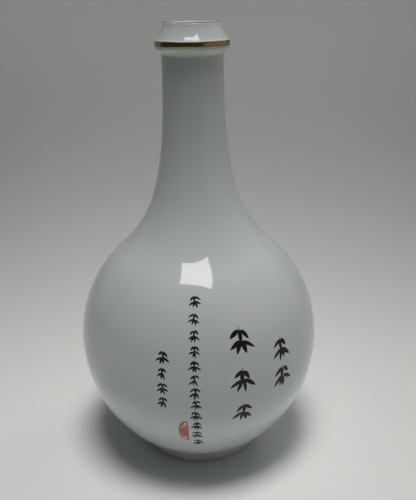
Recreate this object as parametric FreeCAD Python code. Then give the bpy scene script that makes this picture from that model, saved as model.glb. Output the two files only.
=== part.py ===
import FreeCAD
import Part

import math
import os

# Long-necked porcelain spirit bottle: a ball-shaped body on a foot ring, a slender
# neck and a flared mouth collar. The porcelain is made in five sections that are
# luted together with slip, glazed inside and out, then gilded and decorated over
# the glaze. Every section, coat and painted group is a node of its own.
# Millimetres, +Z up, origin at the centre of the plane that the foot stands on.
# The decoration faces -Y.

# ---- driving dimensions -------------------------------------------------------
HEIGHT = 186.2
BODY_RADIUS = 52.5            # the ball at its widest
EQUATOR_Z = 52.6              # its widest point, where its two half shells are luted
BALL_RISE = 54.0              # half axis of the ball's outline above the equator
BALL_DROP = 57.1              # and below it, so that the bottom is a little fuller
SHOULDER_Z = 94.0             # where the ball turns into the sweep of the neck
SHOULDER_PULL = 22.0          # how far the sweep carries on along the ball
NECK_RADIUS = 12.4
NECK_TOP_Z = 170.0            # above this the neck is straight
NECK_PULL = 40.9              # length of the sweep's upper Bezier handle
PULL_GROWTH = 0.55            # deeper surfaces carry on along the ball further, per mm of depth

GLAZE = 0.3                   # thickness of every coat of glaze
WALL = 3.5                    # ball and neck, glaze included
FLOOR_Z = 9.0                 # inside of the bottom
FLOOR_BLEND_Z = 14.0          # inside, the floor's corner ends at this height

FOOT_RADIUS = 28.0
FOOT_LEAN = 0.12              # the foot's wall leans out by this much per mm of height
FOOT_TOP_Z = 5.0              # the luting plane between foot ring and bowl
FOOT_WALL = 3.6
FOOT_CORNER = 0.8
FOOT_BARE_Z = 1.4             # the glaze is wiped off below this
FOOT_BLEND_Z = (3.9, 6.4)     # ends of the fillet between the foot's wall and the ball
BASE_POOL = 1.5               # rounding of the glaze in the corner of the recess

NECK_JOINT_Z = 108.0
COLLAR_JOINT_Z = 172.0

BAND_RADIUS = 14.8            # the collar's widest ring, at its lower edge
BAND_LOW_Z = 177.5
BAND_TOP_Z = 179.7
BAND_TAPER = 0.2              # the ring's upper edge stands in by this much
BAND_CROWN = 0.15             # how far the ring bulges
BAND_STEP = 0.55              # the cone starts this far inside the ring's upper edge
BAND_STEP_RISE = 0.35         # and this far above it
COVE_RADIUS = 2.0             # hollow under the collar
BEAD_RADIUS = 1.9             # rounding from the underside into the ring
UNDERSIDE_SLOPE = 35.0        # degrees above level
CONE_LOW_PULL = (-1.15, 1.6)  # how the cone's concave outline leaves the ring, as (radius, height)
CONE_HIGH_PULL = (0.45, -1.5)  # and how it reaches the lip
LIP_RADIUS = 11.3
LIP_EDGE = 0.8                # rounding of the lip
BORE_RADIUS = 8.0
SEAT_LOW_Z = 173.0            # the straight bore for the stopper ends here

GILT = 0.06                   # gilding, thicker than the real film
ENAMEL = 0.05                 # painted enamel
ENAMEL_ZONE_Z = (16.0, 93.0)  # the painting lies between these heights
SPRAY_REACH = 3.0             # half depth of the cutter that trims a painted stroke
LEAF_WIDTH = 0.15             # of the spray's size

# Sprays of painted bamboo leaves: name, azimuth from the front in degrees, height of
# the first spray's middle, step down to the next, number of sprays, and their size.
LEAF_COLUMNS = [
    ("leaf_column_left", -16.2, 66.6, 6.4, 4, 5.8),
    ("leaf_column_middle", -2.2, 86.2, 5.6, 12, 5.5),
    ("leaf_column_right", 18.8, 71.8, 15.6, 3, 11.0),
    ("leaf_column_far_right", 39.6, 64.2, 12.2, 2, 10.2),
]

# Two tiers of leaves hang from each spray's twig: the knot's height and the leaves' length
# as shares of the spray's size, the number of leaves, and the degrees that they span.
TIERS = [(0.40, 0.44, 3, 96.0), (0.04, 0.52, 4, 112.0)]
TWIG = (-0.06, 0.52, 0.05)    # foot, length and width, shares of the size

# The stamp is the left part of an oval, closed by a straight side.
SEAL_AZIMUTH = -7.6
SEAL_Z = 32.2
SEAL_WIDTH = 6.4              # of the whole oval
SEAL_HEIGHT = 13.2
SEAL_CUT = 0.7                # the straight side stands this far right of the oval's middle
SEAL_LINE = 0.55
SEAL_BARS = [(-0.26, 0.46), (-0.10, 0.66), (0.02, 0.66)]  # shares of the width and of the height


# ---- curves in the half plane y = 0: a point is (radius, height) ---------------
def at(radius, height):
    return FreeCAD.Vector(radius, 0, height)


def line(start, end):
    return Part.LineSegment(start, end).toShape()


def arc(start, middle, end):
    return Part.Arc(start, middle, end).toShape()


def turn(centre, radius, from_degrees, to_degrees):
    """A circular arc about a centre, from one angle to another."""
    angles = (from_degrees, (from_degrees + to_degrees) / 2, to_degrees)
    points = [
        centre + at(radius * math.cos(math.radians(a)), radius * math.sin(math.radians(a)))
        for a in angles
    ]
    return arc(*points)


def bezier(*poles):
    curve = Part.BezierCurve()
    curve.setPoles(list(poles))
    return curve.toShape()


def start_of(edge):
    return edge.valueAt(edge.FirstParameter)


def end_of(edge):
    return edge.valueAt(edge.LastParameter)


def ball_axis(height, inset):
    """The half axis of the ball's outline on this side of the equator."""
    return (BALL_RISE if height > EQUATOR_Z else BALL_DROP) - inset


def ball_point(height, inset):
    """The point of the ball's outline at a height, for a surface inset from the finished one."""
    share = (height - EQUATOR_Z) / ball_axis(height, inset)
    return at((BODY_RADIUS - inset) * math.sqrt(1 - share * share), height)


def ball_tangent(height, inset):
    """The upward direction along the ball's outline at a height."""
    ratio = (BODY_RADIUS - inset) / ball_axis(height, inset)
    slope = -ratio * ratio * (height - EQUATOR_Z) / ball_point(height, inset).x
    return at(slope, 1).normalize()


def ball_edge(low, high, inset):
    """The ball's outline between two heights on one side of the equator: part of an ellipse."""
    centre = at(0, EQUATOR_Z)
    tall = at(0, EQUATOR_Z + ball_axis((low + high) / 2, inset))
    ellipse = Part.Ellipse(tall, at(BODY_RADIUS - inset, EQUATOR_Z), centre)
    ends = [ellipse.parameter(ball_point(z, inset)) for z in (low, high)]
    return Part.ArcOfEllipse(ellipse, min(ends), max(ends)).toShape()


def sweep_edge(inset):
    """The concave sweep from the shoulder to the straight top of the neck."""
    height = EQUATOR_Z + (SHOULDER_Z - EQUATOR_Z) * (1 - inset / BALL_RISE)
    foot = ball_point(height, inset)
    top = at(NECK_RADIUS - inset, NECK_TOP_Z)
    pull = ball_tangent(height, inset) * (SHOULDER_PULL + PULL_GROWTH * inset)
    return height, bezier(foot, foot + pull, top - at(0, NECK_PULL), top)


def split_at(edge, height):
    """The two parts of an edge, below and above a height."""
    low, high = edge.FirstParameter, edge.LastParameter
    rising = end_of(edge).z > start_of(edge).z
    for _ in range(60):
        middle = (low + high) / 2
        if (edge.valueAt(middle).z < height) == rising:
            low = middle
        else:
            high = middle
    parts = [
        edge.Curve.toShape(edge.FirstParameter, low),
        edge.Curve.toShape(low, edge.LastParameter),
    ]
    return parts if rising else parts[::-1]


# ---- the outlines of each surface ----------------------------------------------
def foot_wall_radius(height):
    return FOOT_RADIUS + FOOT_LEAN * height


def foot_outside(low, inset):
    """The foot's outer wall from a height up into the ball, in rising order."""
    wall_top = at(foot_wall_radius(FOOT_BLEND_Z[0]) - inset, FOOT_BLEND_Z[0])
    corner = at(foot_wall_radius(FOOT_TOP_Z) - inset, FOOT_TOP_Z - inset / 2)
    return [
        line(at(foot_wall_radius(low) - inset, low), wall_top),
        bezier(wall_top, corner, ball_point(FOOT_BLEND_Z[1], inset)),
    ]


def collar_outside(low, inset):
    """From the straight neck, round the collar, to the outer edge of the lip's top."""
    bead = at(BAND_RADIUS - BEAD_RADIUS, BAND_LOW_Z)
    turned = 90 - UNDERSIDE_SLOPE
    run = (
        bead.x + BEAD_RADIUS * math.cos(math.radians(turned))
        - (NECK_RADIUS + COVE_RADIUS * (1 - math.cos(math.radians(turned))))
    )
    rise = (BEAD_RADIUS + COVE_RADIUS) * math.sin(math.radians(turned))
    cove = at(
        NECK_RADIUS + COVE_RADIUS,
        BAND_LOW_Z - rise - run * math.tan(math.radians(UNDERSIDE_SLOPE)),
    )
    cove_arc = turn(cove, COVE_RADIUS + inset, 180, 180 - turned)
    bead_arc = turn(bead, BEAD_RADIUS - inset, -turned, 0)
    band_low = at(BAND_RADIUS - inset, BAND_LOW_Z)
    band_top = at(BAND_RADIUS - BAND_TAPER - inset, BAND_TOP_Z - 0.6 * inset)
    band_middle = (band_low + band_top) / 2 + at(BAND_CROWN, 0)
    cone_low = band_top + at(-BAND_STEP, BAND_STEP_RISE)
    step = bezier(band_top, band_top + at(-0.3 * BAND_STEP, 0.3), cone_low + at(0.2, -0.1), cone_low)
    lip_low = at(LIP_RADIUS - inset, HEIGHT - LIP_EDGE)
    cone = bezier(cone_low, cone_low + at(*CONE_LOW_PULL), lip_low + at(*CONE_HIGH_PULL), lip_low)
    return [
        line(at(NECK_RADIUS - inset, low), start_of(cove_arc)),
        cove_arc,
        line(end_of(cove_arc), start_of(bead_arc)),
        bead_arc,
        arc(band_low, band_middle, band_top),
        step,
        cone,
    ]


def lip_over(inset):
    """Over the lip, from its outer edge to its inner edge."""
    level = HEIGHT - LIP_EDGE
    outer = turn(at(LIP_RADIUS - LIP_EDGE, level), LIP_EDGE - inset, 0, 90)
    inner = turn(at(BORE_RADIUS + LIP_EDGE, level), LIP_EDGE - inset, 90, 180)
    return [outer, line(end_of(outer), start_of(inner)), inner]


def inside(inset):
    """The cavity's wall in rising order, from the centre of the floor to the lip.

    inset is how far this surface lies behind the finished inner glaze."""
    depth = WALL - inset
    floor = FLOOR_Z - inset
    corner_top = ball_point(FLOOR_BLEND_Z, depth)
    reach = (FLOOR_BLEND_Z - floor) / ball_tangent(FLOOR_BLEND_Z, depth).z
    corner = corner_top - ball_tangent(FLOOR_BLEND_Z, depth) * reach
    height, sweep = sweep_edge(depth)
    return [
        line(at(0, floor), at(corner.x - reach, floor)),
        bezier(at(corner.x - reach, floor), corner, corner_top),
        ball_edge(FLOOR_BLEND_Z, EQUATOR_Z, depth),
        ball_edge(EQUATOR_Z, height, depth),
        sweep,
        line(end_of(sweep), at(BORE_RADIUS + inset, SEAT_LOW_Z)),
        line(
            at(BORE_RADIUS + inset, SEAT_LOW_Z),
            at(BORE_RADIUS + inset, HEIGHT - LIP_EDGE),
        ),
    ]


def outside(inset):
    """The whole outer outline in rising order, from the foot to the lip's outer edge."""
    height, sweep = sweep_edge(inset)
    return (
        foot_outside(FOOT_BARE_Z, inset)
        + [ball_edge(FOOT_BLEND_Z[1], EQUATOR_Z, inset), ball_edge(EQUATOR_Z, height, inset), sweep]
        + collar_outside(NECK_TOP_Z, inset)
    )


def between(edges, low, high):
    """The stretch of an outline between two heights."""
    kept = []
    for edge in edges:
        z0, z1 = sorted((start_of(edge).z, end_of(edge).z))
        if z1 <= low + 1e-6 or z0 >= high - 1e-6:
            continue
        if z0 < low - 1e-6:
            edge = split_at(edge, low)[1]
        if z1 > high + 1e-6:
            edge = split_at(edge, high)[0]
        kept.append(edge)
    return kept


def extreme(edges, highest):
    """The lowest or highest end point of some edges."""
    ends = [point for edge in edges for point in (start_of(edge), end_of(edge))]
    return max(ends, key=lambda p: p.z) if highest else min(ends, key=lambda p: p.z)


def spin(edges):
    """Turns a closed outline about the axis into a solid."""
    wire = Part.Wire(Part.__sortEdges__(edges))
    solid = Part.Face(wire).revolve(FreeCAD.Vector(), FreeCAD.Vector(0, 0, 1), 360)
    return Part.Solid(solid.Shells[0]) if solid.ShapeType != "Solid" else solid


def ring_section(outer, inner):
    """A turned solid between an outer and an inner stretch, closed by straight joint faces."""
    return spin(
        outer
        + inner
        + [
            line(extreme(outer, False), extreme(inner, False)),
            line(extreme(outer, True), extreme(inner, True)),
        ]
    )


# ---- porcelain sections ---------------------------------------------------------
def foot_ring():
    """Bare ring of porcelain, its resting face flat and its edges rounded."""
    outer = between(outside(GLAZE), FOOT_BARE_Z, FOOT_TOP_Z)
    bottom = start_of(outer[0])
    inner_radius = FOOT_RADIUS - FOOT_WALL
    low = FOOT_CORNER
    outer_round = turn(at(bottom.x - low, low), low, 0, -90)
    inner_round = turn(at(inner_radius + low, low), low, 180, 270)
    return spin(
        outer
        + [
            line(bottom, at(bottom.x, low)),
            outer_round,
            line(end_of(outer_round), end_of(inner_round)),
            inner_round,
            line(at(inner_radius, low), at(inner_radius, FOOT_TOP_Z)),
            line(at(inner_radius, FOOT_TOP_Z), extreme(outer, True)),
        ]
    )


def lower_bowl():
    outer = between(outside(GLAZE), FOOT_TOP_Z, EQUATOR_Z)
    wall = inside(GLAZE)
    inner = [wall[0]] + between(wall[1:], 0, EQUATOR_Z)
    return spin(
        outer
        + inner
        + [
            line(at(0, FOOT_TOP_Z), extreme(outer, False)),
            line(at(0, FOOT_TOP_Z), start_of(wall[0])),
            line(extreme(outer, True), extreme(inner, True)),
        ]
    )


def wall_section(low, high):
    """A section of the wall between two level luting planes."""
    return ring_section(between(outside(GLAZE), low, high), between(inside(GLAZE), low, high))


def mouth_collar():
    over = lip_over(GLAZE)
    outer = between(outside(GLAZE), COLLAR_JOINT_Z, HEIGHT)
    inner = between(inside(GLAZE), COLLAR_JOINT_Z, HEIGHT)
    return spin(
        outer + over + inner + [line(extreme(outer, False), extreme(inner, False))]
    )


# ---- coats of glaze --------------------------------------------------------------
def outer_glaze():
    """One coat from the wiped foot, up the outside and over the lip."""
    skin = outside(0) + lip_over(0)
    under = outside(GLAZE) + lip_over(GLAZE)
    return spin(
        skin
        + under
        + [
            line(start_of(skin[0]), start_of(under[0])),
            line(end_of(skin[-1]), end_of(under[-1])),
        ]
    )


def inner_glaze():
    skin, under = inside(0), inside(GLAZE)
    return spin(
        skin
        + under
        + [
            line(start_of(skin[0]), start_of(under[0])),
            line(end_of(skin[-1]), end_of(under[-1])),
        ]
    )


def base_glaze():
    """The coat in the recess under the bottle, inside the foot ring."""
    wall = FOOT_RADIUS - FOOT_WALL
    ceiling = FOOT_TOP_Z - GLAZE
    pool = BASE_POOL
    return spin(
        [
            line(at(wall, FOOT_BARE_Z), at(wall, FOOT_TOP_Z)),
            line(at(wall, FOOT_TOP_Z), at(0, FOOT_TOP_Z)),
            line(at(0, FOOT_TOP_Z), at(0, ceiling)),
            line(at(0, ceiling), at(wall - GLAZE - pool, ceiling)),
            turn(at(wall - GLAZE - pool, ceiling - pool), pool, 90, 0),
            line(at(wall - GLAZE, ceiling - pool), at(wall - GLAZE, FOOT_BARE_Z)),
            line(at(wall - GLAZE, FOOT_BARE_Z), at(wall, FOOT_BARE_Z)),
        ]
    )


# ---- gilding ---------------------------------------------------------------------
def gilt_lip_ring():
    """A film over the lip's outer rounding and its top, clear of the bore."""
    film, under = lip_over(-GILT)[:2], lip_over(0)[:2]
    return spin(
        film
        + under
        + [
            line(start_of(film[0]), start_of(under[0])),
            line(end_of(film[-1]), end_of(under[-1])),
        ]
    )


def gilt_collar_band():
    """A film on the collar's widest ring."""
    under = collar_outside(NECK_TOP_Z, 0)[4]
    low, high = start_of(under), end_of(under)
    middle = under.valueAt((under.FirstParameter + under.LastParameter) / 2)
    out = at(GILT, 0)
    film = arc(low + out, middle + out, high + out)
    return spin([under, film, line(low, low + out), line(high, high + out)])


# ---- enamel painting ---------------------------------------------------------------
def enamel_shell():
    """The layer of space on the ball that painted enamel fills."""
    low, high = ENAMEL_ZONE_Z

    def skin(inset):
        return [ball_edge(low, EQUATOR_Z, inset), ball_edge(EQUATOR_Z, high, inset)]

    return ring_section(skin(-ENAMEL), skin(0))


def tangent_frame(azimuth, height):
    """The point on the ball, and its rightward, upward and outward directions."""
    point = ball_point(height, 0)
    a = math.radians(azimuth)
    rise = ball_tangent(height, 0)
    right = FreeCAD.Vector(math.cos(a), math.sin(a), 0)
    radial = FreeCAD.Vector(math.sin(a), -math.cos(a), 0)
    up = radial * rise.x + FreeCAD.Vector(0, 0, rise.z)
    outward = right.cross(up)
    return radial * point.x + FreeCAD.Vector(0, 0, height), right, up, outward


def leaf(frame, base, degrees, length, width):
    """A pointed leaf that is cut through the enamel layer: two arcs, swept along the normal."""
    origin, right, up, outward = frame
    a = math.radians(degrees)

    def place(along, across):
        u = base[0] + along * math.cos(a) - across * math.sin(a)
        v = base[1] + along * math.sin(a) + across * math.cos(a)
        return origin + right * u + up * v - outward * SPRAY_REACH

    tip = place(length, 0)
    root = place(0, 0)
    sides = [
        Part.Arc(root, place(0.45 * length, 0.62 * width), tip).toShape(),
        Part.Arc(tip, place(0.45 * length, -0.38 * width), root).toShape(),
    ]
    return Part.Face(Part.Wire(sides)).extrude(outward * (2 * SPRAY_REACH))


def spray(azimuth, height, size, number):
    """A twig and two tiers of hanging leaves. number makes each spray a little different."""
    frame = tangent_frame(azimuth, height)
    lean = 6 * math.sin(2.4 * number)
    foot, length, width = (share * size for share in TWIG)
    strokes = [leaf(frame, (0, foot), 94 + lean, length, width)]
    for knot, share, count, fan in TIERS:
        for k in range(count):
            angle = (k - (count - 1) / 2) * fan / (count - 1)
            wobble = 0.9 + 0.1 * math.cos(1.7 * (k + number + count))
            base = (0.04 * size * math.sin(math.radians(angle)), (knot - 0.015 * k) * size)
            degrees = -90 + angle + lean
            strokes.append(leaf(frame, base, degrees, share * size * wobble, LEAF_WIDTH * size))
    return strokes[0].multiFuse(strokes[1:])


def leaf_column(shell, azimuth, top, step, count, size):
    """Sprays one above the other, trimmed to the enamel layer."""
    solids = []
    for number in range(count):
        cutter = spray(azimuth, top - number * step, size, number)
        solids += shell.common(cutter).Solids
    return Part.makeCompound(solids)


def red_seal(shell):
    """A plain stamp: a rim with one straight side, and three upright bars."""
    origin, right, up, outward = tangent_frame(SEAL_AZIMUTH, SEAL_Z)
    low = origin - outward * SPRAY_REACH
    depth = outward * (2 * SPRAY_REACH)

    def block(centre, width, tall):
        """An upright box across the layer; centre is a step to the right of the stamp's middle."""
        middle = low + right * centre
        side, rise = right * (width / 2), up * (tall / 2)
        corners = [middle - side - rise, middle + side - rise, middle + side + rise, middle - side + rise]
        return Part.Face(Part.makePolygon(corners + corners[:1])).extrude(depth)

    def oval(inset):
        """The oval up to its straight side, with its outline stepped in."""
        ellipse = Part.Ellipse(
            low + up * (SEAL_HEIGHT / 2 - inset), low + right * (SEAL_WIDTH / 2 - inset), low
        )
        whole = Part.Face(Part.Wire(ellipse.toShape())).extrude(depth)
        cut = SEAL_CUT - inset
        return whole.common(block(cut - SEAL_WIDTH / 2, SEAL_WIDTH, 2 * SEAL_HEIGHT))

    solids = shell.common(oval(0).cut(oval(SEAL_LINE))).Solids
    for place, share in SEAL_BARS:
        bar = block(place * SEAL_WIDTH, SEAL_LINE, share * SEAL_HEIGHT)
        solids += shell.common(bar).Solids
    return Part.makeCompound(solids)


# ---- build -------------------------------------------------------------------------
nodes = {
    "foot_ring": foot_ring(),
    "lower_bowl": lower_bowl(),
    "upper_shell": wall_section(EQUATOR_Z, NECK_JOINT_Z),
    "neck_tube": wall_section(NECK_JOINT_Z, COLLAR_JOINT_Z),
    "mouth_collar": mouth_collar(),
    "outer_glaze": outer_glaze(),
    "inner_glaze": inner_glaze(),
    "base_glaze": base_glaze(),
    "gilt_lip_ring": gilt_lip_ring(),
    "gilt_collar_band": gilt_collar_band(),
}
layer = enamel_shell()
for name, azimuth, top, step, count, size in LEAF_COLUMNS:
    nodes[name] = leaf_column(layer, azimuth, top, step, count, size)
nodes["red_seal"] = red_seal(layer)

os.makedirs("parts", exist_ok=True)
for name, shape in nodes.items():
    shape.exportStep(f"parts/{name}.step")
    print(
        f"{name:24} valid {shape.isValid()} solids {len(shape.Solids):3d} "
        f"volume {shape.Volume / 1000:8.3f} ml"
    )
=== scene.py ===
import math
import random

import bpy
from mathutils import Matrix, Vector


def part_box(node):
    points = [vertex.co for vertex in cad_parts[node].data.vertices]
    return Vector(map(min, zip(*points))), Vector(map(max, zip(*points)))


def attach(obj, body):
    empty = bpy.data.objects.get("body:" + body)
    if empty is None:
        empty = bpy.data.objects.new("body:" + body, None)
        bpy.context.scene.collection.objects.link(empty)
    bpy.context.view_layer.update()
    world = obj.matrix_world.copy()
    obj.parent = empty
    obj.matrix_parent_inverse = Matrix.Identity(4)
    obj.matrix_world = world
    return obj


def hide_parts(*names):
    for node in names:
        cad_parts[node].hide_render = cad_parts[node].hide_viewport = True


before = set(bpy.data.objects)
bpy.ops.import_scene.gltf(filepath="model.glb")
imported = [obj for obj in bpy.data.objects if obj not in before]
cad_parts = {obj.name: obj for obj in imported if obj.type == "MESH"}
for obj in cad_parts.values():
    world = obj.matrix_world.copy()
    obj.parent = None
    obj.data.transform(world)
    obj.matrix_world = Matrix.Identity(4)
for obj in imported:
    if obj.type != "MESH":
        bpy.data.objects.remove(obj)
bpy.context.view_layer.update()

MM = 0.001                      # the bottle's lengths are in millimetres until a mesh is made


# ---- Porcelain sections ---------------------------------------------------------
# Five sections of white biscuit porcelain, thrown and turned, then luted face to face
# with slip. The glaze hides all but the ring that the bottle stands on, which is wiped
# bare before the firing and so shows dry, faintly warm clay with fine kiln grit.

def new_group(name, inputs, outputs):
    """An empty shader group with named sockets: (name, type, default) in and (name, type) out."""
    group = bpy.data.node_groups.new(name, "ShaderNodeTree")
    for label, kind, default in inputs:
        socket = group.interface.new_socket(label, in_out="INPUT", socket_type=kind)
        socket.default_value = default
    for label, kind in outputs:
        group.interface.new_socket(label, in_out="OUTPUT", socket_type=kind)
    return group, group.nodes.new("NodeGroupInput"), group.nodes.new("NodeGroupOutput")


def noise_node(group, scale_from, factor, detail, place):
    """A noise texture whose scale is a group input times a factor."""
    scale = group.nodes.new("ShaderNodeMath")
    scale.operation = "MULTIPLY"
    scale.inputs[1].default_value = factor
    group.links.new(scale_from, scale.inputs[0])
    noise = group.nodes.new("ShaderNodeTexNoise")
    noise.inputs["Detail"].default_value = detail
    group.links.new(scale.outputs[0], noise.inputs["Scale"])
    group.links.new(place, noise.inputs["Vector"])
    return noise


def cloud_group():
    """Soft drifts between two colours, and a height for gentle unevenness."""
    group, given, result = new_group(
        "soft_drift",
        [("Light", "NodeSocketColor", (1, 1, 1, 1)), ("Deep", "NodeSocketColor", (0.9, 0.9, 0.9, 1)),
         ("Scale", "NodeSocketFloat", 30.0), ("Amount", "NodeSocketFloat", 1.0)],
        [("Color", "NodeSocketColor"), ("Height", "NodeSocketFloat")])
    place = group.nodes.new("ShaderNodeTexCoord").outputs["Object"]
    broad = noise_node(group, given.outputs["Scale"], 1.0, 2.0, place)
    fine = noise_node(group, given.outputs["Scale"], 5.3, 4.0, place)
    both = group.nodes.new("ShaderNodeMix")
    both.inputs["Factor"].default_value = 0.35
    group.links.new(broad.outputs["Fac"], both.inputs["A"])
    group.links.new(fine.outputs["Fac"], both.inputs["B"])
    spread = group.nodes.new("ShaderNodeMapRange")
    spread.inputs["From Min"].default_value = 0.36
    spread.inputs["From Max"].default_value = 0.64
    group.links.new(both.outputs["Result"], spread.inputs["Value"])
    share = group.nodes.new("ShaderNodeMath")
    share.operation = "MULTIPLY"
    group.links.new(spread.outputs["Result"], share.inputs[0])
    group.links.new(given.outputs["Amount"], share.inputs[1])
    colour = group.nodes.new("ShaderNodeMix")
    colour.data_type = "RGBA"
    group.links.new(share.outputs[0], colour.inputs["Factor"])
    group.links.new(given.outputs["Light"], colour.inputs["A"])
    group.links.new(given.outputs["Deep"], colour.inputs["B"])
    group.links.new(colour.outputs["Result"], result.inputs["Color"])
    group.links.new(both.outputs["Result"], result.inputs["Height"])
    return group


def speck_group():
    """Sparse small round specks: iron in the clay, pinholes or kiln grit."""
    group, given, result = new_group(
        "specks",
        [("Scale", "NodeSocketFloat", 200.0), ("Size", "NodeSocketFloat", 0.12),
         ("Share", "NodeSocketFloat", 0.1)],
        [("Mask", "NodeSocketFloat")])
    place = group.nodes.new("ShaderNodeTexCoord").outputs["Object"]
    cells = group.nodes.new("ShaderNodeTexVoronoi")
    group.links.new(place, cells.inputs["Vector"])
    group.links.new(given.outputs["Scale"], cells.inputs["Scale"])
    near = group.nodes.new("ShaderNodeMath")
    near.operation = "LESS_THAN"
    group.links.new(cells.outputs["Distance"], near.inputs[0])
    group.links.new(given.outputs["Size"], near.inputs[1])
    tint = group.nodes.new("ShaderNodeSeparateColor")
    group.links.new(cells.outputs["Color"], tint.inputs["Color"])
    chosen = group.nodes.new("ShaderNodeMath")
    chosen.operation = "LESS_THAN"
    group.links.new(tint.outputs["Red"], chosen.inputs[0])
    group.links.new(given.outputs["Share"], chosen.inputs[1])
    mask = group.nodes.new("ShaderNodeMath")
    mask.operation = "MULTIPLY"
    group.links.new(near.outputs[0], mask.inputs[0])
    group.links.new(chosen.outputs[0], mask.inputs[1])
    group.links.new(mask.outputs[0], result.inputs["Mask"])
    return group


DRIFT = cloud_group()
SPECKS = speck_group()


def new_material(name):
    """A material, its nodes, its links and its shader."""
    material = bpy.data.materials.new(name)
    material.use_nodes = True
    nodes = material.node_tree.nodes
    return material, nodes, material.node_tree.links, nodes["Principled BSDF"]


def place_group(nodes, group, **values):
    """Puts a shader group in a material, with its own values on the group's inputs."""
    node = nodes.new("ShaderNodeGroup")
    node.node_tree = group
    for label, value in values.items():
        node.inputs[label].default_value = value
    return node


def blend_colour(nodes, links, mask, under, over):
    """A colour laid over another where the mask is 1. under is an output socket."""
    mix = nodes.new("ShaderNodeMix")
    mix.data_type = "RGBA"
    links.new(mask, mix.inputs["Factor"])
    links.new(under, mix.inputs["A"])
    mix.inputs["B"].default_value = over
    return mix.outputs["Result"]


def add_bump(nodes, links, height, shader, distance):
    """Roughens a surface by a height. distance is its depth in millimetres."""
    bump = nodes.new("ShaderNodeBump")
    bump.inputs["Distance"].default_value = distance * MM
    bump.inputs["Strength"].default_value = 1.0
    links.new(height, bump.inputs["Height"])
    links.new(bump.outputs["Normal"], shader.inputs["Normal"])


def biscuit_material():
    """Dry unglazed clay with fine grit and grain."""
    material, nodes, links, shader = new_material("biscuit_porcelain")
    drift = place_group(nodes, DRIFT, Light=(0.80, 0.77, 0.71, 1), Deep=(0.70, 0.65, 0.57, 1),
                        Scale=60.0, Amount=1.0)
    grit = place_group(nodes, SPECKS, Scale=900.0, Size=0.3, Share=0.06)
    colour = blend_colour(nodes, links, grit.outputs["Mask"], drift.outputs["Color"],
                          (0.28, 0.22, 0.17, 1))
    links.new(colour, shader.inputs["Base Color"])
    shader.inputs["Roughness"].default_value = 0.78
    grain = nodes.new("ShaderNodeTexNoise")
    grain.inputs["Scale"].default_value = 1800.0
    grain.inputs["Detail"].default_value = 3.0
    links.new(nodes.new("ShaderNodeTexCoord").outputs["Object"], grain.inputs["Vector"])
    add_bump(nodes, links, grain.outputs["Fac"], shader, 0.05)
    return material


BISCUIT = biscuit_material()
for node in ("lower_bowl", "upper_shell", "neck_tube", "mouth_collar", "foot_ring"):
    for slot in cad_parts[node].material_slots:
        slot.material = BISCUIT


# ---- Outer glaze ----------------------------------------------------------------
# One coat of clear, faintly blue-green glaze over the white body, from the wiped foot
# up the outside and over the lip. It is thick and glassy, rounds the hollow under the
# collar and the corner at the foot, and ends in a slightly swollen edge above bare clay.

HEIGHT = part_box("outer_glaze")[1][2] / MM
BALL_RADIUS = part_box("outer_glaze")[1][0] / MM
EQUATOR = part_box("lower_bowl")[1][2] / MM
COAT = 0.3                      # thickness of the glaze
ROOT = 0.03                     # how far a coat or a film reaches into what it lies on
CENTRE = 0.02                   # turned lines start or end this close to the axis
BALL_RISE, BALL_DROP = 54.0, 57.1                           # half heights above and below the equator
SHOULDER, SHOULDER_PULL, PULL_GROWTH = 94.0, 22.0, 0.55     # where the ball turns into the sweep
NECK_RADIUS, NECK_TOP, NECK_PULL = 12.4, 170.0, 40.9
FOOT_RADIUS, FOOT_LEAN, FOOT_BARE, FOOT_TOP = 28.0, 0.12, 1.4, 5.0
BLEND_LOW, BLEND_HIGH = 3.9, 6.4                            # the corner between the foot and the ball
BEAD, COVE, COLLAR_SLOPE = 1.9, 2.0, 35.0                   # curves under the ring, and their slope
RING_RADIUS, RING_LOW, RING_HIGH, RING_CROWN = 14.8, 177.5, 179.7, 0.2
RING_STEP = Vector((-0.55, 0.35))                           # from the ring's top to the cone
STEP_PULLS = Vector((-0.16, 0.3)), Vector((0.2, -0.1))      # inner poles, from each end of the step
CONE_PULLS = Vector((-1.15, 1.6)), Vector((0.45, -1.5))     # the same for the cone
LIP_RADIUS, LIP_EDGE, BORE = 11.3, 0.8, 8.0
EDGE_RUN, EDGE_CREST, EDGE_SWELL = 0.7, 1.0, 0.08           # how the glaze starts above the bare foot


def ball_radius(z):
    """The ball's outer radius at a height."""
    half = BALL_RISE if z > EQUATOR else BALL_DROP
    return BALL_RADIUS * math.sqrt(1 - ((z - EQUATOR) / half) ** 2)


def ball_slope(z):
    """How fast the ball's radius grows with height."""
    half = BALL_RISE if z > EQUATOR else BALL_DROP
    return -((BALL_RADIUS / half) ** 2) * (z - EQUATOR) / ball_radius(z)


def swing(centre, radius, start, end, count):
    """Points on an arc, angles in degrees."""
    angles = [math.radians(start + (end - start) * i / count) for i in range(count + 1)]
    return [Vector((centre[0] + radius * math.cos(a), centre[1] + radius * math.sin(a)))
            for a in angles]


def sweep(poles, count):
    """Points on a Bezier curve through two to four poles."""
    poles = [Vector(p) for p in poles]
    line = []
    for i in range(count + 1):
        t = i / count
        level = poles
        while len(level) > 1:
            level = [a.lerp(b, t) for a, b in zip(level, level[1:])]
        line.append(level[0])
    return line


def joined(*stretches):
    """One line from several that meet end to end."""
    line = []
    for stretch in stretches:
        line += [p for p in stretch if not line or (p - line[-1]).length > 1e-4]
    return line


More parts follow.
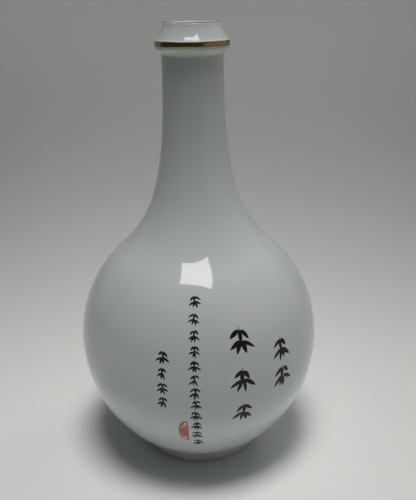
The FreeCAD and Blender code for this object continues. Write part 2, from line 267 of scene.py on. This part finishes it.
def collar_line():
    """From the neck, through the hollow and round the ring, up the cone to the lip."""
    turned = 90 - COLLAR_SLOPE
    centre = Vector((RING_RADIUS - BEAD, RING_LOW))
    low = centre + BEAD * Vector((math.cos(math.radians(-turned)), math.sin(math.radians(-turned))))
    run = low.x - (NECK_RADIUS + COVE * (1 - math.cos(math.radians(turned))))
    drop = (BEAD + COVE) * math.sin(math.radians(turned)) + run * math.tan(math.radians(COLLAR_SLOPE))
    hollow = Vector((NECK_RADIUS + COVE, RING_LOW - drop))
    crown = Vector((RING_RADIUS + RING_CROWN, (RING_LOW + RING_HIGH) / 2))
    ring_top = Vector((RING_RADIUS - RING_CROWN, RING_HIGH))
    cone_low = ring_top + RING_STEP
    lip = Vector((LIP_RADIUS, HEIGHT - LIP_EDGE))
    return joined(
        swing(hollow, COVE, 180, 180 - turned, 16),
        swing(centre, BEAD, -turned, 0, 16),
        sweep([(RING_RADIUS, RING_LOW), crown, ring_top], 12),
        sweep([ring_top, ring_top + STEP_PULLS[0], cone_low + STEP_PULLS[1], cone_low], 6),
        sweep([cone_low, cone_low + CONE_PULLS[0], lip + CONE_PULLS[1], lip], 24),
    )


def outer_line():
    """The finished outside, from the foot's wiped edge to the inner edge of the lip."""
    wall = Vector((FOOT_RADIUS + FOOT_LEAN * BLEND_LOW, BLEND_LOW))
    corner = Vector((FOOT_RADIUS + FOOT_LEAN * FOOT_TOP, FOOT_TOP))
    rows = 140
    reach = [EQUATOR - BLEND_HIGH if 2 * i <= rows else SHOULDER - EQUATOR for i in range(rows + 1)]
    heights = [EQUATOR - reach[i] * math.cos(math.pi * i / rows) for i in range(rows + 1)]
    ball = [Vector((ball_radius(z), z)) for z in heights]
    tangent = Vector((ball_slope(SHOULDER), 1)).normalized()
    top = Vector((NECK_RADIUS, NECK_TOP))
    edge = HEIGHT - LIP_EDGE
    return joined(
        sweep([(FOOT_RADIUS + FOOT_LEAN * FOOT_BARE, FOOT_BARE), wall], 10),
        sweep([wall, corner, ball[0]], 14),
        ball,
        sweep([ball[-1], ball[-1] + SHOULDER_PULL * tangent, top - Vector((0, NECK_PULL)), top], 110),
        collar_line(),
        swing((LIP_RADIUS - LIP_EDGE, edge), LIP_EDGE, 0, 90, 12),
        swing((BORE + LIP_EDGE, edge), LIP_EDGE, 90, 180, 12),
    )


def normals_of(line):
    """The outward direction at each point of a line that rises on its outer side."""
    found = []
    for i in range(len(line)):
        along = line[min(i + 1, len(line) - 1)] - line[max(i - 1, 0)]
        found.append(Vector((along.y, -along.x)).normalized())
    return found


def out_of_round(azimuth, z):
    """Hand throwing leaves the walls a few hundredths of a millimetre out of round."""
    fade = min(1.0, max(0.0, (z - 3.0) / 12.0))
    wide = 0.07 * math.cos(2 * azimuth + 0.8 + z / 60) + 0.035 * math.cos(3 * azimuth - 1.9 + z / 35)
    return fade * wide


def hoop_faces(sides, loop):
    """The faces between neighbouring cross-sections, each of loop points, round a full turn."""
    faces = []
    for i in range(sides):
        j = (i + 1) % sides
        for k in range(loop):
            m = (k + 1) % loop
            faces.append((i * loop + k, j * loop + k, j * loop + m, i * loop + m))
    return faces


def lathe(name, loop, sides, material):
    """A turned piece: loop is its closed cross-section as (radius, height), in order."""
    verts = []
    for i in range(sides):
        a = 2 * math.pi * i / sides
        for p in loop:
            r = p.x + (out_of_round(a, p.y) if p.x > 1 else 0)
            verts.append((r * math.sin(a) * MM, -r * math.cos(a) * MM, p.y * MM))
    return finish_mesh(name, verts, hoop_faces(sides, len(loop)), material)


def finish_mesh(name, verts, faces, material):
    """Makes an object of a mesh, smooth except across edges sharper than 40 degrees."""
    mesh = bpy.data.meshes.new(name)
    mesh.from_pydata(verts, [], faces)
    mesh.validate()
    mesh.update()
    mesh.materials.append(material)
    piece = bpy.data.objects.new(name, mesh)
    bpy.context.scene.collection.objects.link(piece)
    mesh.shade_smooth()
    mesh.set_sharp_from_angle(angle=math.radians(40.0))
    return piece


def glaze_material(name, deep):
    """Clear glaze over white clay: drifts of tint, rare specks, and a soft unevenness."""
    material, nodes, links, shader = new_material(name)
    drift = place_group(nodes, DRIFT, Light=(0.66, 0.687, 0.672, 1), Deep=deep, Scale=22.0, Amount=1.0)
    iron = place_group(nodes, SPECKS, Scale=190.0, Size=0.05, Share=0.05)
    colour = blend_colour(nodes, links, iron.outputs["Mask"], drift.outputs["Color"],
                          (0.36, 0.33, 0.28, 1))
    links.new(colour, shader.inputs["Base Color"])
    shader.inputs["Roughness"].default_value = 0.06
    shader.inputs["IOR"].default_value = 1.52
    shader.inputs["Coat Weight"].default_value = 0.35
    shader.inputs["Coat Roughness"].default_value = 0.03
    add_bump(nodes, links, drift.outputs["Height"], shader, 0.08)
    return material


GLAZE = glaze_material("clear_glaze", (0.625, 0.66, 0.645, 1))

skin = outer_line()
facing = normals_of(skin)
travel = [0.0]
for a, b in zip(skin, skin[1:]):
    travel.append(travel[-1] + (b - a).length)


def coat_at(distance):
    """The coat starts as a rounded, slightly swollen edge above the bare foot."""
    start = min(distance / EDGE_RUN, 1.0)
    rounded = COAT * math.sqrt(max(1 - (1 - start) ** 2, 0.02))
    return rounded + EDGE_SWELL * math.exp(-((distance - EDGE_CREST) / EDGE_RUN) ** 2)


top_side = [p + n * (coat_at(s) - COAT) for p, n, s in zip(skin, facing, travel)]
under_side = [p - n * (COAT - ROOT) for p, n in zip(skin, facing)][::4]
outer_glaze = lathe("outer_glaze_coat", top_side + under_side[::-1], 240, GLAZE)
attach(outer_glaze, "root")
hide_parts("outer_glaze")


# ---- Inner glaze ----------------------------------------------------------------
# The same glaze swilled round the inside: down the stopper's bore, the neck and the
# wall of the ball to the floor. It is a little greener than the glaze outside.

WALL = 3.5                      # from the outside of the outer glaze to the inside of the inner
BORE_LOW = 173.0                # where the stopper's bore starts
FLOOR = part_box("inner_glaze")[0][2] / MM + COAT
FLOOR_CORNER = 14.0             # height at which the wall starts to turn into the floor


def inner_line(inset):
    """The cavity's surface from the centre of the floor to the lip, set back by an inset."""
    depth = WALL - inset

    def radius(z):
        half = (BALL_RISE if z > EQUATOR else BALL_DROP) - depth
        return (BALL_RADIUS - depth) * math.sqrt(1 - ((z - EQUATOR) / half) ** 2)

    def slope(z):
        step = 0.01
        return (radius(z + step) - radius(z - step)) / (2 * step)

    floor = FLOOR - inset
    rise, lean = FLOOR_CORNER - floor, slope(FLOOR_CORNER)
    top = Vector((radius(FLOOR_CORNER), FLOOR_CORNER))
    corner = Vector((top.x - lean * rise, floor))
    flat = Vector((corner.x - rise * math.hypot(1, lean), floor))
    high = EQUATOR + (SHOULDER - EQUATOR) * (1 - depth / BALL_RISE)
    wall = [Vector((radius(z), z)) for z in
            (FLOOR_CORNER + (high - FLOOR_CORNER) * i / 80 for i in range(81))]
    neck = Vector((NECK_RADIUS - depth, NECK_TOP))
    pull = (SHOULDER_PULL + PULL_GROWTH * depth) * Vector((slope(high), 1)).normalized()
    return joined(
        sweep([(CENTRE, floor), flat], 12), sweep([flat, corner, top], 14), wall,
        sweep([wall[-1], wall[-1] + pull, neck - Vector((0, NECK_PULL)), neck], 60),
        sweep([neck, (BORE + inset, BORE_LOW)], 4),
        sweep([(BORE + inset, BORE_LOW), (BORE + inset, HEIGHT - LIP_EDGE)], 6),
    )


INSIDE_GLAZE = glaze_material("pooled_glaze", (0.72, 0.78, 0.755, 1))
inner_glaze = lathe("inner_glaze_coat", inner_line(0) + inner_line(COAT - ROOT)[::-1], 160, INSIDE_GLAZE)
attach(inner_glaze, "root")
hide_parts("inner_glaze")


# ---- Glaze under the foot ---------------------------------------------------------
# The recess inside the foot ring is glazed too, down to the bare ring, so that the
# bottle doesn't drink water where it stands. The coat follows the rounded corner.

RECESS_CORNER = 1.9             # radius of the recess's corner, before the glaze


def base_line(coat):
    """The recess's surface from the ring's bare edge to the centre, under a coat."""
    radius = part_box("base_glaze")[1][0] / MM - coat
    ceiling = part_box("base_glaze")[1][2] / MM - coat
    bend = RECESS_CORNER - coat
    return joined(
        sweep([(radius, FOOT_BARE), (radius, ceiling - bend)], 4),
        swing((radius - bend, ceiling - bend), bend, 0, 90, 10),
        sweep([(radius - bend, ceiling), (CENTRE, ceiling)], 12),
    )


CLAY_GAP = 0.02                 # between the coat's hidden side and the clay
base_glaze = lathe("base_glaze_coat", base_line(COAT) + base_line(CLAY_GAP)[::-1], 160, INSIDE_GLAZE)
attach(base_glaze, "root")
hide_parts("base_glaze")


# ---- Gilding ----------------------------------------------------------------------
# Liquid gold brushed over the fired glaze while the bottle turns on a wheel: one thin
# line round the lip's outer edge and one band round the widest ring of the collar. The
# brush leaves edges that waver a little, and handling has thinned the gold.

def gold_material():
    """Burnished gold that drifts between a full and a worn tone."""
    material, nodes, links, shader = new_material("fired_gold")
    drift = place_group(nodes, DRIFT, Light=(0.72, 0.53, 0.24, 1), Deep=(0.50, 0.34, 0.13, 1),
                        Scale=160.0, Amount=1.0)
    links.new(drift.outputs["Color"], shader.inputs["Base Color"])
    shader.inputs["Metallic"].default_value = 1.0
    shader.inputs["Roughness"].default_value = 0.2
    add_bump(nodes, links, drift.outputs["Height"], shader, 0.06)
    return material


GOLD = gold_material()
FILM_CLEAR = 0.008              # height of a gold film's edges above the glaze


def gilt_film(name, line, sides, lift, waver, seed):
    """A thin film on a stretch of the outline. Its two edges waver by up to waver mm."""
    ways = normals_of(line)
    count = len(line) - 1
    dice = random.Random(seed)
    waves = [[(k, dice.uniform(0, 2 * math.pi), dice.uniform(0.3, 1.0) / k ** 0.6)
              for k in (2, 3, 5, 9, 14)] for _ in range(2)]
    length = sum((b - a).length for a, b in zip(line, line[1:]))

    def edge(side, azimuth):
        total = sum(w for _, _, w in waves[side])
        return waver / length * sum(w * math.cos(k * azimuth + p) for k, p, w in waves[side]) / total

    def point(share):
        place = min(max(share, 0.0), 1.0) * count
        k = min(int(place), count - 1)
        return line[k].lerp(line[k + 1], place - k), ways[k].lerp(ways[k + 1], place - k)

    verts = []
    loop = 2 * (count + 1)
    for i in range(sides):
        a = 2 * math.pi * i / sides
        low, high = edge(0, a) + waver / length, 1 + edge(1, a) - waver / length
        for row in range(loop):
            t = (row if row <= count else loop - 1 - row) / count
            p, n = point(low + (high - low) * t)
            swell = lift * min(1.0, 6 * t, 6 * (1 - t))
            p = p + n * (FILM_CLEAR + swell if row <= count else -ROOT)
            r = p.x + out_of_round(a, p.y)
            verts.append((r * math.sin(a) * MM, -r * math.cos(a) * MM, p.y * MM))
    return finish_mesh(name, verts, hoop_faces(sides, loop), GOLD)


ring_stretch = [p for p in collar_line() if RING_LOW - 0.05 <= p.y <= RING_HIGH + 0.01
                and p.x > RING_RADIUS - 0.3]
collar_gilt = gilt_film("collar_gold_band", ring_stretch, 240, 0.03, 0.12, 5)
LIP_GILT_DROP, LIP_GILT_REACH = 0.25 * LIP_EDGE, 1.6 * LIP_EDGE     # down and in from the lip's edge
lip_stretch = [p for p in skin if p.y >= HEIGHT - LIP_GILT_DROP and p.x > BORE + LIP_GILT_REACH]
lip_stretch.append(Vector((LIP_RADIUS - LIP_GILT_REACH, HEIGHT)))
lip_gilt = gilt_film("lip_gold_line", lip_stretch, 240, 0.012, 0.03, 8)
for piece, node in ((collar_gilt, "gilt_collar_band"), (lip_gilt, "gilt_lip_ring")):
    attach(piece, "root")
    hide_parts(node)


# ---- Painted leaf sprays ------------------------------------------------------------
# Black enamel painted on the glaze with a pointed brush and fired on: upright columns of
# small bamboo sprays, each a short twig with a few hanging leaves. The enamel stands a
# few hundredths of a millimetre proud, thickest where the brush was pressed.

def ink_material():
    """Dull black enamel that drifts towards dark grey."""
    material, nodes, links, shader = new_material("black_enamel")
    drift = place_group(nodes, DRIFT, Light=(0.003, 0.0035, 0.004, 1), Deep=(0.010, 0.011, 0.012, 1),
                        Scale=260.0, Amount=1.0)
    links.new(drift.outputs["Color"], shader.inputs["Base Color"])
    shader.inputs["Roughness"].default_value = 0.42
    shader.inputs["Specular IOR Level"].default_value = 0.3
    add_bump(nodes, links, drift.outputs["Height"], shader, 0.03)
    return material


INK = ink_material()
PAINT_CLEAR = 0.006             # height of painted edges above the glaze
STROKE_CROWN, LINE_CROWN = 0.045, 0.03      # how much higher the middle of a stroke or line is


def skin_point(origin, across, along, lift):
    """A point on the ball, stepped in mm across and up from an (azimuth, height), and raised."""
    azimuth, z = origin
    rise = 1 / math.hypot(1, ball_slope(z))
    z = z + along * rise
    azimuth = azimuth + across / ball_radius(z)
    r, slope = ball_radius(z), ball_slope(z)
    size = math.hypot(1, slope)
    r = r + out_of_round(azimuth, z) + lift / size
    z = z - lift * slope / size
    return (r * math.sin(azimuth) * MM, -r * math.cos(azimuth) * MM, z * MM)


def brush_stroke(mesh, origin, start, degrees, length, width, bend, belly):
    """A pressed and lifted stroke, as a thin solid with a crowned top and pointed ends.

    It is widest at the belly, a share of its length, and bends sideways by a share of it.
    """
    verts, faces = mesh
    rows, cols = 18, 6
    a = math.radians(degrees)
    base = len(verts)
    for layer in (0, 1):
        for i in range(rows + 1):
            t = i / rows
            press = math.sin(math.pi * t ** (math.log(0.5) / math.log(belly))) ** 0.75
            half = 0.5 * width * (0.06 + 0.94 * press) * (1 if 0 < i < rows else 0.5)
            for j in range(cols + 1):
                s = 2 * j / cols - 1
                u = length * t
                v = half * s + bend * length * t * t
                across = start[0] + u * math.cos(a) - v * math.sin(a)
                along = start[1] + u * math.sin(a) + v * math.cos(a)
                lift = PAINT_CLEAR + STROKE_CROWN * press * (1 - s * s) if layer == 0 else -ROOT
                verts.append(skin_point(origin, across, along, lift))
    wide = cols + 1
    under = (rows + 1) * wide

    def at(layer, i, j):
        return base + layer * under + i * wide + j

    for i in range(rows):
        for j in range(cols):
            faces.append((at(0, i, j), at(0, i + 1, j), at(0, i + 1, j + 1), at(0, i, j + 1)))
            faces.append((at(1, i, j), at(1, i, j + 1), at(1, i + 1, j + 1), at(1, i + 1, j)))
        faces.append((at(0, i, 0), at(1, i, 0), at(1, i + 1, 0), at(0, i + 1, 0)))
        faces.append((at(0, i, cols), at(0, i + 1, cols), at(1, i + 1, cols), at(1, i, cols)))
    for j in range(cols):
        faces.append((at(0, 0, j), at(0, 0, j + 1), at(1, 0, j + 1), at(1, 0, j)))
        faces.append((at(0, rows, j), at(1, rows, j), at(1, rows, j + 1), at(0, rows, j + 1)))


# the twig's foot, length and width, as shares of a spray's size
TWIG_FOOT, TWIG_LENGTH, TWIG_WIDTH = -0.06, 0.54, 0.07
# knot's height and leaves' length as shares of the size, number of leaves, degrees they span
TIERS = ((0.40, 0.44, 3, 96), (0.04, 0.52, 4, 112))


def leaf_spray(mesh, origin, size, dice):
    """A leaning twig with two tiers of hanging leaves."""
    lean = dice.uniform(-7, 7)
    brush_stroke(mesh, origin, (0, TWIG_FOOT * size), 94 + lean, TWIG_LENGTH * size,
                 TWIG_WIDTH * size, dice.uniform(-0.10, 0.10), 0.3)
    for knot, share, count, fan in TIERS:
        leaves = count + dice.choice((-1, 0, 0)) if count > 3 else count
        for k in range(leaves):
            angle = (k - (count - 1) / 2) * fan / (count - 1) + dice.uniform(-8, 8)
            length = share * size * dice.uniform(0.84, 1.06)
            foot = (0.05 * size * math.sin(math.radians(angle)),
                    (knot - dice.uniform(0, 0.06)) * size)
            brush_stroke(mesh, origin, foot, -90 + angle + lean, length,
                         dice.uniform(0.13, 0.18) * size,
                         dice.uniform(0.02, 0.12) * (1 if angle < 0 else -1), dice.uniform(0.34, 0.46))


# node, degrees round from the front, height of the first spray, step down, sprays, size, seed
LEAF_COLUMNS = (
    ("leaf_column_left", -16.2, 66.6, 6.4, 4, 5.8, 3),
    ("leaf_column_middle", -2.2, 86.2, 5.6, 12, 5.5, 11),
    ("leaf_column_right", 18.8, 71.8, 15.6, 3, 11.0, 6),
    ("leaf_column_far_right", 39.6, 64.2, 12.2, 2, 10.2, 9),
)
for node, azimuth, top, step, count, size, seed in LEAF_COLUMNS:
    dice = random.Random(seed)
    strokes = ([], [])
    for number in range(count):
        origin = (math.radians(azimuth + dice.uniform(-0.4, 0.4)), top - number * step)
        leaf_spray(strokes, origin, size * dice.uniform(0.94, 1.06), dice)
    column = finish_mesh(node.replace("leaf_column", "painted_sprays"), *strokes, INK)
    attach(column, "root")
    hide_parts(node)


# ---- Red stamp ------------------------------------------------------------------------
# A small plain stamp in iron-red enamel beside the foot of the middle column: half an
# upright oval filled with bars, pressed on unevenly so that its lines swell and thin.

def red_material():
    """Iron-red enamel that drifts towards orange where it is thin."""
    material, nodes, links, shader = new_material("red_enamel")
    drift = place_group(nodes, DRIFT, Light=(0.46, 0.072, 0.036, 1), Deep=(0.56, 0.14, 0.08, 1),
                        Scale=420.0, Amount=1.0)
    links.new(drift.outputs["Color"], shader.inputs["Base Color"])
    shader.inputs["Roughness"].default_value = 0.38
    add_bump(nodes, links, drift.outputs["Height"], shader, 0.03)
    return material


SEAL_AZIMUTH, SEAL_HEIGHT = -7.1, 32.2
SEAL_WIDE, SEAL_TALL, SEAL_LINE, SEAL_BAR = 6.4, 13.2, 0.8, 0.95
SEAL_CUT = 0.7                  # the straight side, right of the oval's middle
SEAL_WAVER = 0.16               # how unevenly the rim was pressed, as a share of its width
# each bar's place across the oval and its length, as shares of the oval's width and height
SEAL_BARS = ((-0.31, 0.40), (-0.21, 0.62), (-0.11, 0.72), (0.0, 0.66), (0.05, 0.5))


def seal_mesh():
    """The rim, an oval flattened on its right, and upright bars, each a crowned stroke."""
    strokes = ([], [])
    origin = (math.radians(SEAL_AZIMUTH), SEAL_HEIGHT)
    verts, faces = strokes
    steps, cols = 96, 4
    ring = 2 * (cols + 1)
    dice = random.Random(4)
    phases = [(k, dice.uniform(0, 2 * math.pi)) for k in (2, 3, 5, 8)]
    for i in range(steps):
        a = 2 * math.pi * i / steps
        line = SEAL_LINE * (1 + SEAL_WAVER * sum(math.cos(k * a + p) for k, p in phases))
        for row in range(ring):
            j = row if row <= cols else ring - 1 - row
            inset = line * j / cols
            u = min((SEAL_WIDE / 2 - inset) * math.cos(a), SEAL_CUT - inset)
            v = (SEAL_TALL / 2 - inset) * math.sin(a)
            s = 2 * j / cols - 1
            lift = PAINT_CLEAR + LINE_CROWN * (1 - s * s) if row <= cols else -ROOT
            verts.append(skin_point(origin, u, v, lift))
    for i in range(steps):
        m = (i + 1) % steps
        for k in range(ring):
            n = (k + 1) % ring
            faces.append((i * ring + k, i * ring + n, m * ring + n, m * ring + k))
    for place, share in SEAL_BARS:
        brush_stroke(strokes, origin, (place * SEAL_WIDE, -share * SEAL_TALL / 2),
                     90 + dice.uniform(-3, 3), share * SEAL_TALL, SEAL_BAR,
                     dice.uniform(-0.03, 0.03), 0.5)
    return strokes


seal = finish_mesh("red_stamp", *seal_mesh(), red_material())
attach(seal, "root")
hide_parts("red_seal")


# ---- Studio ---------------------------------------------------------------------------
# A pale sheet that lies flat under the bottle and sweeps up a long way behind it, in a dim
# room. A soft lamp hangs overhead, a weak one stands behind on the right, and one washes
# the sheet's bend. A bright window and two faint side panels show in the glaze and gold.

LAMP_WHITE = (1.0, 1.0, 0.98)


def plain_material(name, colour, roughness):
    """One colour, with no pattern."""
    material, nodes, links, shader = new_material(name)
    shader.inputs["Base Color"].default_value = colour
    shader.inputs["Roughness"].default_value = roughness
    return material


def curved_sheet():
    """The backdrop: flat floor, a wide bend, then an upright wall."""
    front, bend_start, bend, top, half_width = -1.2, 0.11, 0.6, 1.6, 1.2
    line = [(front, 0.0), (bend_start, 0.0)]
    line += [(bend_start + bend * math.sin(a), bend - bend * math.cos(a))
             for a in (math.radians(3 * i) for i in range(1, 31))]
    line.append((bend_start + bend, top))
    verts = [(x, y, z) for y, z in line for x in (-half_width, half_width)]
    faces = [(2 * i, 2 * i + 1, 2 * i + 3, 2 * i + 2) for i in range(len(line) - 1)]
    paper = plain_material("paper", (0.84, 0.86, 0.84, 1), 0.8)
    return finish_mesh("backdrop_sheet", verts, faces, paper)


def area_light(name, place, aim, size, power, spread):
    """A soft lamp aimed at a place, with its beam's spread in degrees. Nothing reflects it."""
    light = bpy.data.lights.new(name, "AREA")
    light.shape = "RECTANGLE"
    light.size, light.size_y = size
    light.energy = power
    light.color = LAMP_WHITE
    light.spread = math.radians(spread)
    lamp = bpy.data.objects.new(name, light)
    lamp.location = place
    lamp.rotation_euler = (Vector(aim) - Vector(place)).to_track_quat("-Z", "Y").to_euler()
    lamp.visible_glossy = False
    bpy.context.scene.collection.objects.link(lamp)


def glow_card(name, corners, colour, strength, gives_light):
    """A lit panel that the camera doesn't see. It shows in reflections, and may give light."""
    material = bpy.data.materials.new(name)
    material.use_nodes = True
    nodes = material.node_tree.nodes
    nodes.clear()
    glow = nodes.new("ShaderNodeEmission")
    glow.inputs["Color"].default_value = colour
    glow.inputs["Strength"].default_value = strength
    out = nodes.new("ShaderNodeOutputMaterial")
    material.node_tree.links.new(glow.outputs[0], out.inputs["Surface"])
    card = finish_mesh(name, corners, [tuple(range(len(corners)))], material)
    card.visible_diffuse = gives_light
    card.visible_camera = False
    card.visible_shadow = False
    return card


def side_panel(name, start, end, height, strength):
    """An upright panel between two places on the floor."""
    (x0, y0), (x1, y1) = start, end
    corners = [(x0, y0, 0), (x1, y1, 0), (x1, y1, height), (x0, y0, height)]
    return glow_card(name, corners, (*LAMP_WHITE, 1), strength, True)


curved_sheet()
area_light("overhead", (0.02, -0.15, 1.1), (-0.03, -0.06, 0), (0.42, 0.32), 0.64, 48)
area_light("back_right", (0.42, 0.40, 0.55), (0.0, 0.0, 0.12), (0.3, 0.4), 0.09, 60)
area_light("wall_wash", (0.0, 0.50, 0.8), (0.0, 0.51, 0.08), (0.8, 0.1), 0.23, 52)
side_panel("panel_right", (0.40, -0.62), (0.62, 0.50), 0.5, 0.19)
side_panel("panel_left", (-0.62, 0.20), (-0.55, 0.60), 0.5, 0.14)

WINDOW_HEIGHT = 0.6             # it lies level, above and in front of the bottle
WINDOW = ((-0.125, -0.12), (0, -0.135), (0.075, -0.075), (0.13, -0.18),
          (0.135, -0.31), (-0.02, -0.27), (-0.17, -0.245))
glow_card("window", [(x, y, WINDOW_HEIGHT) for x, y in WINDOW], (1.0, 1.0, 0.97, 1), 5.6, False)

world = bpy.data.worlds.new("dim_room")
world.use_nodes = True
world.node_tree.nodes["Background"].inputs["Color"].default_value = (0.46, 0.50, 0.48, 1)
world.node_tree.nodes["Background"].inputs["Strength"].default_value = 0.06
bpy.context.scene.world = world
bpy.context.scene.view_settings.view_transform = "Standard"

# The camera stands a little above the mouth and tips down; it leans by one degree.
CAMERA_BACK, CAMERA_HIGH = 269.5, 197.1
PITCH, YAW, LEAN = math.radians(21.43), math.radians(1.0), math.radians(-1.02)
forward = Vector((math.sin(YAW) * math.cos(PITCH), math.cos(YAW) * math.cos(PITCH),
                  -math.sin(PITCH)))
level = Vector((math.cos(YAW), -math.sin(YAW), 0))
upright = level.cross(forward)
right = math.cos(LEAN) * level + math.sin(LEAN) * upright
up = right.cross(forward)
camera = bpy.data.objects.new("camera", bpy.data.cameras.new("camera"))
camera.data.lens = 47.5
camera.data.clip_start = 0.01
camera.matrix_world = Matrix.Translation((0, -CAMERA_BACK * MM, CAMERA_HIGH * MM)) @ Matrix(
    (right, up, -forward)).transposed().to_4x4()
bpy.context.scene.collection.objects.link(camera)
bpy.context.scene.camera = camera
